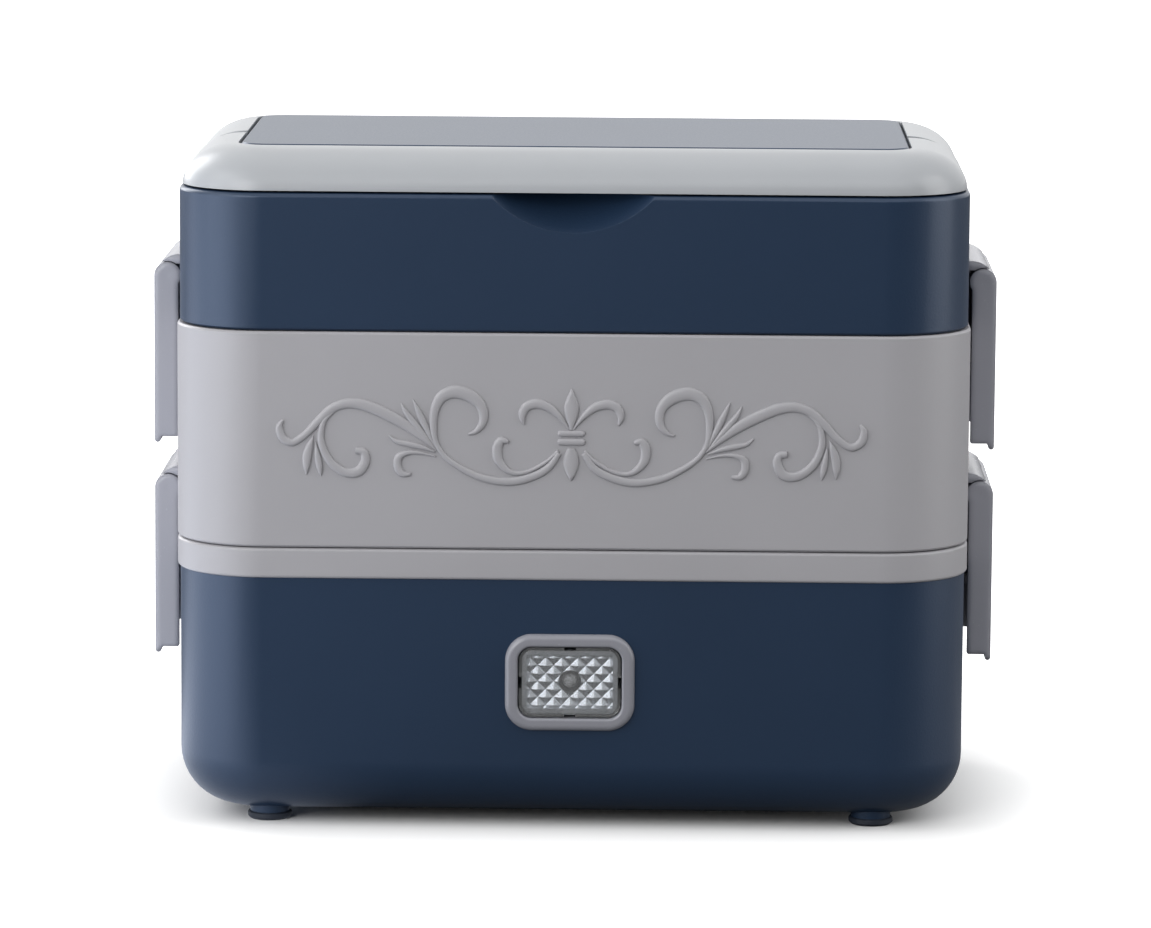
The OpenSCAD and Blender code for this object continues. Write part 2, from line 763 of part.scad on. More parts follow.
module lid_rear_frame() {
    color(handle_grey) difference() {
        swept_u(shoulder_plan_w, shoulder_plan_d, shoulder_plan_r, pivot_y) shoulder_section(roof_z);
        handle_bore(handle_end_r + fit, panel_w / 2 - 2, shoulder_plan_w / 2 + 2);
        translate([-body_w, pivot_y - 1, pivot_z])
            cube([2 * body_w, handle_end_r + fit + 1, handle_end_r + 1]);
    }
}

module handle_pins() {
    color(steel) handle_bore(handle_pin_r, panel_w / 2 - 7, panel_w / 2 + panel_gap + 5);
}

// Front half of the shoulder, hinged to the panel's sides; its arms end round about the hinge
module carry_handle() {
    boss_end = panel_w / 2 + panel_gap;
    color(handle_grey) difference() {
        union() {
            mirror([0, 1, 0]) swept_u(shoulder_plan_w, shoulder_plan_d, shoulder_plan_r, -pivot_y)
                shoulder_section(handle_z);
            intersection() {
                for (m = [0, 1]) mirror([m, 0, 0])
                    swept_side(shoulder_plan_w, pivot_y, pivot_y + handle_end_r) shoulder_section(handle_z);
                handle_bore(handle_end_r, panel_w / 2, shoulder_plan_w / 2 + 2);
            }
            handle_bore(handle_end_r - 1, boss_end, boss_end + 7);
        }
        handle_bore(handle_pin_r + running, boss_end - 1, boss_end + 5.5);
    }
}

// ---------- latches ----------

// Direction from the hinge at which the hood's inner curve meets its outer one
function hood_tip() =
    let (dx = hood_x - latch_pivot_x, dz = hood_drop - hinge_rise, gap = norm([dx, dz]))
    atan2(dz, dx) + 360 * (dz < 0 ? 1 : 0)
        - acos((hood_inner_r * hood_inner_r + gap * gap - hood_r * hood_r) / (2 * hood_inner_r * gap));

module hood_section(side) {
    from_hood = asin((hinge_rise - hood_drop + hood_inner_r * sin(hood_tip())) / hood_r);
    polygon(concat(
        [[side, hood_rise]],
        arc(hood_x, hood_drop, hood_r, 90, from_hood + 1),
        arc(latch_pivot_x, hinge_rise, hood_inner_r, hood_tip() + 2, hood_inner_end),
        [[side, hinge_rise + hood_inner_r * sin(hood_inner_end)]]
    ));
}

// Runs children, drawn as (outwards, up) from the middle and the seam, front to back on the right side
module along_latch(seam_z, width, at = 0) {
    translate([0, at, seam_z]) rotate([90, 0, 0]) linear_extrude(width, center = true) children();
}

module latch_axis(seam_z, r, width, at = 0) {
    translate([latch_pivot_x, at, seam_z + hinge_rise]) rotate([90, 0, 0])
        cylinder(r = r, h = width, center = true);
}

// Hood over the hinge, with two knuckles that carry the pin
module latch_bracket(side, seam_z) {
    web = 1.8;
    rib_out = 0.8;
    start = side + running;
    difference() {
        union() {
            along_latch(seam_z, latch_w) hood_section(side);
            for (y = [-knuckle_at, knuckle_at]) {
                latch_axis(seam_z, knuckle_r, knuckle_w, y);
                translate([start, y - knuckle_w / 2, seam_z + hinge_rise - web])
                    cube([latch_pivot_x - start, knuckle_w, 2 * web]);
                translate([start, y - knuckle_w / 2, seam_z + hinge_rise - web])
                    cube([tier_side + rib_out - start, knuckle_w, web + barrel_r]);
            }
        }
        latch_axis(seam_z, latch_pin_r + running, latch_w + 2);
    }
}

// A latch: hinge barrel, outer skin with a finger lip, end walls and the hook
module latch(seam_z) {
    skin_x = latch_x - latch_skin;
    back_x = tier_side + latch_back;
    hook_top = -catch_drop - hook_gap;
    slot = knuckle_w + 2 * fit + 0.2;
    difference() {
        union() {
            latch_axis(seam_z, barrel_r, latch_w);
            along_latch(seam_z, latch_w) polygon(concat(
                [[skin_x, hinge_rise], [latch_x, hinge_rise]],
                arc(latch_x - 0.9, -latch_drop + 0.1, 0.9, 0, -180, 6),
                [[skin_x, -latch_drop + 1.4]]
            ));
            for (y = [-1, 1])
                along_latch(seam_z, latch_skin, y * (latch_w - latch_skin) / 2) polygon([
                    [back_x, hinge_rise], [skin_x + 0.5, hinge_rise], [skin_x + 0.5, -latch_drop + 1],
                    [back_x + 0.4, -latch_drop + 1], [back_x, -latch_drop + 1.4]
                ]);
            along_latch(seam_z, 2 * hook_half) polygon([
                [tier_side + hook_in, hook_top], [skin_x + 0.5, hook_top],
                [skin_x + 0.5, hook_top - hook_t - 1.6],
                [skin_x - 1.6, hook_top - hook_t], [tier_side + hook_in + 0.8, hook_top - hook_t],
                [tier_side + hook_in, hook_top - hook_t + 0.8]
            ]);
        }
        for (y = [-knuckle_at, knuckle_at]) {
            latch_axis(seam_z, knuckle_r + fit, slot, y);
            translate([tier_side - 1, y - slot / 2, seam_z + hinge_rise - barrel_r - 1])
                cube([latch_pivot_x - tier_side + 2.8, slot, 2 * barrel_r + 2]);
        }
        latch_axis(seam_z, latch_pin_r + running, latch_w - 2.6);
    }
}

module upper_latch_brackets() {
    color(latch_grey) for (m = [0, 1]) mirror([m, 0, 0]) latch_bracket(navy_side, upper_seam);
}

module lower_latch_brackets() {
    color(latch_grey) for (m = [0, 1]) mirror([m, 0, 0]) latch_bracket(tier_side, lower_seam);
}

module upper_latch_pins() {
    color(steel) for (m = [0, 1]) mirror([m, 0, 0]) latch_axis(upper_seam, latch_pin_r, latch_w - 3.2);
}

module lower_latch_pins() {
    color(steel) for (m = [0, 1]) mirror([m, 0, 0]) latch_axis(lower_seam, latch_pin_r, latch_w - 3.2);
}

module upper_left_latch() { color(latch_grey) mirror([1, 0, 0]) latch(upper_seam); }
module upper_right_latch() { color(latch_grey) latch(upper_seam); }
module lower_left_latch() { color(latch_grey) mirror([1, 0, 0]) latch(lower_seam); }
module lower_right_latch() { color(latch_grey) latch(lower_seam); }

base_shell();
bottom_cover();
bottom_screws();
feet();
collar_ring();
heating_pan();
heater_block();
heater_strap();
thermostat();
thermal_fuse();
inlet_socket();
inlet_pins();
wiring();
button_bezel();
button_board();
led_lamp();
switch_body();
lens_cover();
lens_reflector();
switch_plunger();
lower_container();
lower_container_lid();
tier_seal();
tier_shell();
upper_container();
upper_container_lid();
lid_seal();
lid_shell();
lid_panel();
lid_rear_frame();
handle_pins();
carry_handle();
lower_latch_brackets();
lower_latch_pins();
lower_left_latch();
lower_right_latch();
upper_latch_brackets();
upper_latch_pins();
upper_left_latch();
upper_right_latch();
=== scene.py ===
"""Looks of a two-tier electric lunch box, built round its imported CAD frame."""

import math

import bpy
import numpy as np
from bpy.props import FloatProperty, FloatVectorProperty, PointerProperty
from mathutils import Matrix, Vector


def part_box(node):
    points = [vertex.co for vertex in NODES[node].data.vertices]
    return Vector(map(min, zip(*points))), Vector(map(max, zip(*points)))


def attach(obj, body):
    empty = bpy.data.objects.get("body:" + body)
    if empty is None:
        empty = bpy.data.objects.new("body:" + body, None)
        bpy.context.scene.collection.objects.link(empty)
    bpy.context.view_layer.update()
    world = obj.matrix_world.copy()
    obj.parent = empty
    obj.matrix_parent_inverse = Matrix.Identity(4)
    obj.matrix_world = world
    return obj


bl_info = {
    "name": "Electric Lunch Box",
    "version": (1, 0, 0),
    "blender": (4, 5, 0),
    "location": "View3D > Sidebar > Lunch Box",
    "description": "Dresses the lunch box's frame with moulded, metal and clear finishes and lights it",
    "category": "Object",
}

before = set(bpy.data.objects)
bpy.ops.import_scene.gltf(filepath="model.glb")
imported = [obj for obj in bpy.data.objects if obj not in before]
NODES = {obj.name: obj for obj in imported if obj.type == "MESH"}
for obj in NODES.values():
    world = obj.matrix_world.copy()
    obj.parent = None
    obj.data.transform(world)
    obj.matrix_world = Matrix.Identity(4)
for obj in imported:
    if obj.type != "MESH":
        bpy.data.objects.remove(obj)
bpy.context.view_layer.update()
MM = 0.001
EDGE_ANGLE = math.radians(30)  # edges that turn by more than this are rounded
WELD_GAP = 0.002 * MM  # vertices closer than this are one


def srgb(text):
    """Linear colour of an sRGB hex value."""
    parts = [int(text[i:i + 2], 16) / 255 for i in (1, 3, 5)]
    return tuple(c / 12.92 if c <= 0.04045 else ((c + 0.055) / 1.055) ** 2.4 for c in parts)


# ---------- sizes and colours a user would change ----------


class CasingSettings(bpy.types.PropertyGroup):
    """Moulded casing of the base, the tier and the lid."""

    navy: FloatVectorProperty(
        name="Navy", description="Colour of the base, the lid and the top panel",
        subtype="COLOR", size=3, min=0, max=1, default=srgb("#1b2c42"))
    grey: FloatVectorProperty(
        name="Grey", description="Colour of the food tier and the collar",
        subtype="COLOR", size=3, min=0, max=1, default=srgb("#9f9ea2"))
    grain: FloatProperty(
        name="Grain", description="Grain width of the spark-eroded mould texture",
        unit="LENGTH", default=0.7 * MM, min=0.1 * MM, max=3 * MM)
    grain_depth: FloatProperty(
        name="Grain depth", description="Depth of the mould texture",
        unit="LENGTH", default=0.035 * MM, min=0, max=0.2 * MM)
    edge: FloatProperty(
        name="Edge radius", description="Radius that softens the casing's moulded edges",
        unit="LENGTH", default=0.35 * MM, min=0, max=1 * MM)


class TrimSettings(bpy.types.PropertyGroup):
    """Handle, latches and bezel."""

    handle: FloatVectorProperty(
        name="Handle grey", description="Colour of the handle and the rear frame",
        subtype="COLOR", size=3, min=0, max=1, default=srgb("#a2a5a9"))
    latch: FloatVectorProperty(
        name="Latch grey", description="Colour of the latches, their hoods and the bezel",
        subtype="COLOR", size=3, min=0, max=1, default=srgb("#a1a2ab"))
    edge: FloatProperty(
        name="Edge radius", description="Radius that softens the latches' edges",
        unit="LENGTH", default=2.6 * MM, min=0, max=4 * MM)


class OrnamentSettings(bpy.types.PropertyGroup):
    """Scroll ornament in low relief on the food tier."""

    relief: FloatProperty(
        name="Relief", description="Height of the ornament above the tier's front",
        unit="LENGTH", default=0.85 * MM, min=0.2 * MM, max=1 * MM)
    centre_height: FloatProperty(
        name="Centre height", description="Height of the ornament's middle above the ground",
        unit="LENGTH", default=118.1 * MM, min=100 * MM, max=135 * MM)


class StageSettings(bpy.types.PropertyGroup):
    """Floor, lamps and camera."""

    key_power: FloatProperty(
        name="Left softbox", description="Power of the tall softbox at the left",
        subtype="POWER", default=10.0, min=0)
    rear_power: FloatProperty(
        name="Rear softbox", description="Power of the softbox behind the box at the left",
        subtype="POWER", default=15.0, min=0)
    front_power: FloatProperty(
        name="Front lamp", description="Power of the low soft lamp left of the camera",
        subtype="POWER", default=10.0, min=0)
    canopy_power: FloatProperty(
        name="Canopy", description="Power of the wide softbox above the camera",
        subtype="POWER", default=3.5, min=0)
    right_power: FloatProperty(
        name="Right softbox", description="Power of the weaker softbox at the right",
        subtype="POWER", default=10.0, min=0)
    top_power: FloatProperty(
        name="Top lamp", description="Power of the lamp above",
        subtype="POWER", default=1.0, min=0)
    room_bright: FloatProperty(
        name="Bright side", description="Light of the room behind and above",
        default=1.3, min=0, max=2)
    room_dark: FloatProperty(
        name="Dark side", description="Light of the room round the camera",
        default=0.1, min=0, max=2)
    floor_fade: FloatProperty(
        name="Floor fade", description="Distance from the box at which the floor has faded to white",
        unit="LENGTH", default=0.09, min=0.02, max=2)
    floor_left: FloatProperty(
        name="Floor at the left", description="Light of the floor at the left, as the box mirrors it",
        default=2.7, min=0, max=5)
    floor_right: FloatProperty(
        name="Floor at the right", description="Light of the floor at the right, as the box mirrors it",
        default=0.2, min=0, max=5)
    lens: FloatProperty(
        name="Lens", description="Focal length of the camera",
        subtype="DISTANCE_CAMERA", default=185.0, min=20, max=400)


# ---------- shared tools ----------


def add(tree, kind, inputs=None, **settings):
    """Adds a node to a tree with its settings, its values and its links."""
    node = tree.nodes.new(kind)
    for key, value in settings.items():
        setattr(node, key, value)
    for key, value in (inputs or {}).items():
        if isinstance(value, bpy.types.NodeSocket):
            tree.links.new(value, node.inputs[key])
        else:
            node.inputs[key].default_value = value
    return node


def ramp(tree, value, low, high, bottom=0.0, top=1.0, smooth=False):
    """A value mapped from low..high to bottom..top, and held there past both ends."""
    kind = "SMOOTHSTEP" if smooth else "LINEAR"
    return add(tree, "ShaderNodeMapRange", {
        "Value": value, "From Min": low, "From Max": high, "To Min": bottom, "To Max": top},
        interpolation_type=kind).outputs["Result"]


def maths(tree, operation, *values):
    """One step of arithmetic on numbers or sockets."""
    return add(tree, "ShaderNodeMath", dict(enumerate(values)), operation=operation).outputs[0]


def vector_maths(tree, operation, *values, result="Vector"):
    """One step of arithmetic on vectors or sockets."""
    return add(tree, "ShaderNodeVectorMath", dict(enumerate(values)), operation=operation).outputs[result]


def blank(name):
    """A material with nothing but its output."""
    mat = bpy.data.materials.new(name)
    mat.use_nodes = True
    mat.node_tree.nodes.clear()
    return mat, mat.node_tree, add(mat.node_tree, "ShaderNodeOutputMaterial")


def rgba(colour):
    """The colour with full opacity."""
    return (*colour, 1.0)


WHITE = rgba(srgb("#ffffff"))


def shaded(colour, amount):
    """The colour made lighter or darker by a share of itself."""
    return rgba([min(1.0, c * (1 + amount)) for c in colour])


def surface(name, colour, *, roughness, grain, depth, mottle=0.04, patch=40 * MM, edge=0.0, **sockets):
    """A Principled surface: slow colour drift, a fine grain in its bump and its gloss, and soft edges."""
    mat, tree, out = blank(name)
    place = add(tree, "ShaderNodeTexCoord").outputs["Object"]
    drift = add(tree, "ShaderNodeTexNoise", {"Vector": place, "Scale": 1 / patch, "Detail": 3.0})
    # the mix node keeps one set of sockets per type, so the colour ones are reached by number
    tint = add(tree, "ShaderNodeMix", {
        "Factor": drift.outputs["Fac"], 6: shaded(colour, -mottle), 7: shaded(colour, mottle)},
        data_type="RGBA")
    fine = add(tree, "ShaderNodeTexNoise", {"Vector": place, "Scale": 1 / grain, "Detail": 2.0})
    bump = add(tree, "ShaderNodeBump", {"Height": fine.outputs["Fac"], "Distance": depth, "Strength": 1.0})
    if edge > 0:
        rounded = add(tree, "ShaderNodeBevel", {"Radius": edge}, samples=6)
        tree.links.new(rounded.outputs["Normal"], bump.inputs["Normal"])
    gloss = ramp(tree, fine.outputs["Fac"], 0.0, 1.0, roughness * 0.88, roughness * 1.12)
    shader = add(tree, "ShaderNodeBsdfPrincipled", {
        "Base Color": tint.outputs[2], "Normal": bump.outputs["Normal"], "Roughness": gloss, **sockets})
    tree.links.new(shader.outputs["BSDF"], out.inputs["Surface"])
    return mat


def clear(name, colour, *, roughness, ior, milk=0.0):
    """A clear moulding; milk is the share of light that its surface scatters."""
    mat, tree, out = blank(name)
    place = add(tree, "ShaderNodeTexCoord").outputs["Object"]
    ripple = add(tree, "ShaderNodeTexNoise", {"Vector": place, "Scale": 1 / (6 * MM), "Detail": 1.0})
    bump = add(tree, "ShaderNodeBump", {"Height": ripple.outputs["Fac"], "Distance": 0.004 * MM})
    shader = add(tree, "ShaderNodeBsdfPrincipled", {
        "Base Color": rgba(colour), "Roughness": roughness, "IOR": ior,
        "Transmission Weight": 1.0 - milk, "Normal": bump.outputs["Normal"]})
    tree.links.new(shader.outputs["BSDF"], out.inputs["Surface"])
    return mat


def new_object(name, data):
    """An object in the scene that holds a mesh, a lamp or a camera."""
    obj = bpy.data.objects.new(name, data)
    bpy.context.scene.collection.objects.link(obj)
    return obj


def dress(names, mat, edge=0.0, faceted=False):
    """Gives CAD nodes their finish, rounds their edges a little and smooths their curves, or keeps facets flat."""
    for name in names:
        obj = NODES[name]
        obj.data.materials.clear()
        obj.data.materials.append(mat)
        weld = obj.modifiers.new("weld", "WELD")
        weld.merge_threshold = WELD_GAP
        if edge > 0:
            bevel = obj.modifiers.new("soft edge", "BEVEL")
            bevel.width = edge
            bevel.segments = 2
            bevel.limit_method = "ANGLE"
            bevel.angle_limit = EDGE_ANGLE
        obj.data.polygons.foreach_set("use_smooth", [not faceted] * len(obj.data.polygons))
        obj.data.update()
        if faceted:
            continue
        normals = obj.modifiers.new("flat faces stay flat", "WEIGHTED_NORMAL")
        normals.keep_sharp = True
        normals.weight = 90


def mesh_piece(name, verts, faces, mat, body):
    """A new mesh object that rides on a CAD body."""
    mesh = bpy.data.meshes.new(name)
    mesh.from_pydata([tuple(v) for v in verts], [], faces)
    mesh.validate()
    mesh.polygons.foreach_set("use_smooth", [True] * len(mesh.polygons))
    mesh.materials.append(mat)
    obj = new_object(name, mesh)
    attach(obj, body)


# ---------- finishes ----------


def moulded_navy_abs(s):
    """ABS moulded against a spark-eroded tool: deep colour with a fine satin sparkle."""
    return surface("moulded_navy_abs", s.navy, roughness=0.34, grain=s.grain, depth=s.grain_depth,
                   mottle=0.07, IOR=1.53, **{"Specular Tint": rgba(srgb("#dfebff"))})


def moulded_grey_abs(s):
    """ABS moulded against a finely blasted tool: even, satin, almost without reflections."""
    return surface("moulded_grey_abs", s.grey, roughness=0.42, grain=s.grain, depth=s.grain_depth * 0.5,
                   IOR=1.53)


def handle_abs(s):
    """ABS from a smoother tool: the shoulder shows a broad soft highlight."""
    return surface("handle_abs", s.handle, roughness=0.32, grain=0.9 * MM, depth=0.008 * MM, IOR=1.53)


def latch_abs(s, name, edge, dim=1.0):
    """ABS from a polished tool: the rounded edges catch a soft bright line."""
    return surface(name, [c * dim for c in s.latch], roughness=0.26, grain=0.9 * MM, depth=0.006 * MM,
                   edge=edge, IOR=1.53)


def brushed_steel():
    """Stainless sheet, drawn and brushed: fine scratches round its sides blur what it reflects."""
    mat, tree, out = blank("brushed_steel")
    place = add(tree, "ShaderNodeTexCoord").outputs["Object"]
    stretch = add(tree, "ShaderNodeMapping", {"Vector": place, "Scale": (40.0, 40.0, 2500.0)})
    lines = add(tree, "ShaderNodeTexNoise", {"Vector": stretch.outputs["Vector"], "Scale": 1.0, "Detail": 3.0})
    bump = add(tree, "ShaderNodeBump", {"Height": lines.outputs["Fac"], "Distance": 0.004 * MM})
    gloss = ramp(tree, lines.outputs["Fac"], 0.0, 1.0, 0.2, 0.36)
    shader = add(tree, "ShaderNodeBsdfPrincipled", {
        "Base Color": rgba(srgb("#c9cbcd")), "Metallic": 1.0, "Roughness": gloss,
        "Normal": bump.outputs["Normal"]})
    tree.links.new(shader.outputs["BSDF"], out.inputs["Surface"])
    return mat


# ---------- the scroll ornament ----------

# Each stroke of the left half: (x, z, half width) along its middle, in mm from the ornament's centre
STROKES = {
    "main_stem": [(-3.6, -4.5, 0.81), (-6.9, -9.0, 1.16), (-12.1, -11.8, 1.28), (-18.5, -13.1, 1.28),
                  (-25.5, -12.2, 1.16), (-31.3, -9.8, 0.99), (-36.9, -6.0, 0.81), (-39.8, -1.6, 0.81),
                  (-40.6, 3.6, 1.16), (-40.1, 8.3, 1.4), (-38.1, 11.9, 1.74), (-34.3, 13.4, 1.98),
                  (-29.7, 12.2, 1.92), (-26.5, 9.1, 1.57), (-25.9, 5.0, 1.28), (-27.8, 1.9, 0.81),
                  (-30.3, 0.9, 0.35)],
    "low_hook": [(-3.8, -3.8, 0.47), (-6.9, -6.8, 0.58), (-11.6, -9.6, 0.64), (-15.6, -10.6, 0.7),
                 (-18.8, -9.7, 0.93), (-21.4, -6.7, 1.4), (-21.8, -3.2, 1.51), (-20.6, -1.0, 1.28),
                 (-18.5, -1.3, 0.58)],
    "outer_branch": [(-39.4, -4.1, 0.23), (-44.2, 0.1, 1.05), (-49.4, 3.9, 1.63), (-54.7, 6.7, 1.74),
                     (-60.5, 9.1, 1.69), (-65.7, 9.7, 1.51), (-70.4, 8.1, 1.4), (-74.4, 4.4, 1.28),
                     (-78.2, 0.4, 1.1), (-82.0, -2.0, 1.16), (-85.0, -0.6, 1.28), (-85.9, 2.5, 1.05),
                     (-84.8, 4.6, 0.41)],
    "inner_scroll": [(-69.5, 7.6, 0.47), (-72.7, 4.5, 0.81), (-73.7, -0.2, 1.05), (-72.8, -4.3, 1.16),
                     (-70.3, -8.3, 1.28), (-66.3, -10.8, 1.4), (-62.5, -10.4, 1.57), (-60.6, -7.4, 1.45),
                     (-61.1, -4.7, 1.16), (-63.4, -4.3, 0.99)],
    "hanging_leaf_a": [(-75.8, 0.0, 0.12), (-76.9, -2.9, 1.05), (-77.7, -6.1, 1.4), (-77.9, -9.0, 1.05),
                       (-77.9, -11.6, 0.17)],
    "hanging_leaf_b": [(-75.2, -1.7, 0.12), (-74.8, -4.9, 0.81), (-74.3, -7.8, 1.05),
                       (-73.9, -10.1, 0.81), (-73.6, -11.9, 0.17)],
    "leaf_a": [(-39.6, -4.1, 0.17), (-43.0, 0.1, 0.81), (-46.2, 4.1, 1.05), (-48.6, 7.1, 0.76),
               (-50.0, 9.8, 0.17)],
    "leaf_b": [(-39.7, -3.5, 0.17), (-41.7, 0.7, 0.81), (-43.7, 4.8, 1.05), (-45.2, 8.0, 0.76),
               (-46.5, 10.9, 0.17)],
    "leaf_c": [(-40.0, -4.5, 0.23), (-44.2, -3.0, 0.81), (-48.2, -2.1, 0.93), (-51.4, -1.4, 0.7),
               (-53.5, 0.3, 0.23)],
    "small_scroll": [(-39.7, -5.9, 0.23), (-44.2, -4.8, 0.52), (-48.2, -4.8, 0.81), (-50.7, -6.1, 1.16),
                     (-51.1, -8.8, 1.22), (-49.7, -11.0, 1.05), (-47.2, -11.2, 0.47)],
    "side_hook": [(-0.5, 2.4, 0.29), (-3.2, 6.0, 0.81), (-6.5, 8.9, 1.28), (-10.2, 10.1, 1.51),
                  (-13.3, 9.1, 1.4), (-14.5, 6.5, 1.1), (-13.9, 3.9, 0.35)],
}
# Strokes that stand on the middle line and aren't repeated at the right
MIDDLE_STROKES = {
    "upper_leaf": [(0.0, 14.6, 0.12), (0.0, 11.9, 1.4), (0.0, 9.3, 2.27), (0.0, 6.4, 1.86),
                   (0.0, 4.0, 0.99), (0.0, 2.4, 0.52)],
    "lower_leaf": [(0.0, -3.1, 1.16), (0.0, -5.4, 2.09), (0.0, -7.7, 2.33), (0.0, -10.4, 1.51),
                   (0.0, -12.7, 0.17)],
    "clasp_top": [(-4.0, 1.35, 0.25), (-3.2, 1.35, 0.95), (0.0, 1.35, 1.0), (3.2, 1.35, 0.95),
                  (4.0, 1.35, 0.25)],
    "clasp_foot": [(-4.1, -1.15, 0.25), (-3.3, -1.15, 1.05), (0.0, -1.15, 1.1), (3.3, -1.15, 1.05),
                   (4.1, -1.15, 0.25)],
}


def smooth_path(points, steps):
    """Points along a Catmull-Rom curve through the given ones."""
    p = np.array([points[0], *points, points[-1]], float)
    rows = []
    for i in range(1, len(p) - 2):
        for t in np.linspace(0, 1, steps, endpoint=False):
            rows.append(0.5 * (2 * p[i] + (p[i + 1] - p[i - 1]) * t
                               + (2 * p[i - 1] - 5 * p[i] + 4 * p[i + 1] - p[i + 2]) * t * t
                               + (3 * p[i] - p[i - 1] - 3 * p[i + 1] + p[i + 2]) * t ** 3))
    rows.append(p[-2])
    return np.array(rows)


def stroke_mesh(points, side, centre_z, face_y, relief):
    """A carved stroke: a low dome across, tapering to its ends, its foot sunk into the wall."""
    sunk = 0.25 * MM
    across, steps = 10, 7
    thinnest, full_height = 0.05, 0.9  # half widths in mm: the least, and the least that reaches the full relief
    path = smooth_path(points, steps)
    path[:, 0] *= side
    tangent = np.gradient(path[:, :2], axis=0)
    tangent /= np.maximum(np.linalg.norm(tangent, axis=1, keepdims=True), 1e-9)
    verts, faces = [], []
    for (x, z, half), (tx, tz) in zip(path, tangent):
        half = max(half, thinnest)
        rise = relief * min(1.0, half / full_height) ** 0.6
        for k in range(across + 1):
            a = math.pi * k / across
            off = -math.cos(a) * half
            high = -sunk + (rise + sunk) * math.sin(a) ** 0.55
            verts.append(((x - tz * off) * MM, face_y - high, centre_z + (z + tx * off) * MM))
    rows, width = len(path), across + 1
    for i in range(rows - 1):
        for k in range(across):
            a = i * width + k
            quad = [a, a + 1, a + width + 1, a + width]
            faces.append(quad if side < 0 else quad[::-1])
        back = [i * width, i * width + across, (i + 1) * width + across, (i + 1) * width]
        faces.append(back[::-1] if side < 0 else back)
    for i, turn in ((0, 1), (rows - 1, -1)):
        cap = [i * width + k for k in range(width)]
        faces.append(cap[::-1] if turn * side < 0 else cap)
    return verts, faces


# ---------- operators ----------


class LUNCHBOX_OT_casing(bpy.types.Operator):
    """Finish the moulded casing of the base, the tier and the lid"""

    bl_idname = "lunchbox.casing"
    bl_label = "Casing"

    def execute(self, context):
        s = context.scene.lunchbox_casing
        dress(["base_shell", "bottom_cover", "lid_shell", "lid_panel"], moulded_navy_abs(s), s.edge)
        dress(["collar_ring", "tier_shell"], moulded_grey_abs(s), s.edge)
        # the feet are dark navy rubber, taken darker still as painted shade for the shade under the box
        rubber = surface("foot_rubber", srgb("#161e2b"), roughness=0.6, grain=0.8 * MM, depth=0.02 * MM)
        dress(["feet"], rubber, 0.25 * MM)
        return {"FINISHED"}


class LUNCHBOX_OT_handle(bpy.types.Operator):
    """Finish the carrying handle and the rear frame"""

    bl_idname = "lunchbox.handle"
    bl_label = "Handle"

    def execute(self, context):
        s = context.scene.lunchbox_trim
        dress(["carry_handle", "lid_rear_frame"], handle_abs(s), 0.35 * MM)
        return {"FINISHED"}


class LUNCHBOX_OT_latches(bpy.types.Operator):
    """Finish the side latches and the hoods over their hinges"""

    bl_idname = "lunchbox.latches"
    bl_label = "Latches"

    def execute(self, context):
        s = context.scene.lunchbox_trim
        names = [f"{row}_{side}_latch" for row in ("upper", "lower") for side in ("left", "right")]
        dress([*names, "upper_latch_brackets", "lower_latch_brackets"],
              latch_abs(s, "latch_abs", s.edge), 0.25 * MM)
        return {"FINISHED"}


class LUNCHBOX_OT_button(bpy.types.Operator):
    """Finish the lit push button: bezel, clear cover, faceted reflector, lamp and circuit board"""

    bl_idname = "lunchbox.button"
    bl_label = "Power button"

    def execute(self, context):
        s = context.scene.lunchbox_trim
        dress(["button_bezel", "switch_plunger"], latch_abs(s, "bezel_abs", 0.5 * MM, 0.68), 0.2 * MM)
        # polished polycarbonate: clear, with the faint haze that makes its flat rim read as grey
        cover = clear("clear_polycarbonate", srgb("#eceef0"), roughness=0.03, ior=1.58, milk=0.06)
        dress(["lens_cover"], cover, 0.2 * MM)
        # vacuum-metallised ABS: each pyramid's four flanks mirror another part of the room
        mirror = surface("vacuum_metallised_abs", srgb("#c4c6c9"), roughness=0.2, grain=1.5 * MM,
                         depth=0.002 * MM, mottle=0.02, Metallic=1.0)
        dress(["lens_reflector"], mirror, faceted=True)
        # diffusing epoxy: a grey, finely stippled dome
        epoxy = surface("diffusing_epoxy", srgb("#a09f9e"), roughness=0.3, grain=0.8 * MM, depth=0.2 * MM,
                        mottle=1.0, patch=0.8 * MM)
        dress(["led_lamp"], epoxy)
        # dark grey solder resist, also kept dark as painted shade, so the lens rim over it reads as the shadowed
        # gap inside the bezel
        board = surface("solder_resist", srgb("#4a4d50"), roughness=0.3, grain=1 * MM, depth=0.005 * MM)
        dress(["button_board"], board)
        return {"FINISHED"}


class LUNCHBOX_OT_ornament(bpy.types.Operator):
    """Carve the scroll ornament in low relief on the food tier's front"""

    bl_idname = "lunchbox.ornament"
    bl_label = "Scroll ornament"

    def execute(self, context):
        s = context.scene.lunchbox_ornament
        face_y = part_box("tier_shell")[0].y
        verts, faces = [], []

        def take(points, side):
            v, f = stroke_mesh(points, side, s.centre_height, face_y, s.relief)
            faces.extend([[i + len(verts) for i in face] for face in f])
            verts.extend(v)

        for points in STROKES.values():
            for side in (1, -1):
                take(points, side)
        for points in MIDDLE_STROKES.values():
            take(points, 1)
        mat = NODES["tier_shell"].data.materials[0]
        mesh_piece("scroll_ornament", verts, faces, mat, "housing")
        return {"FINISHED"}


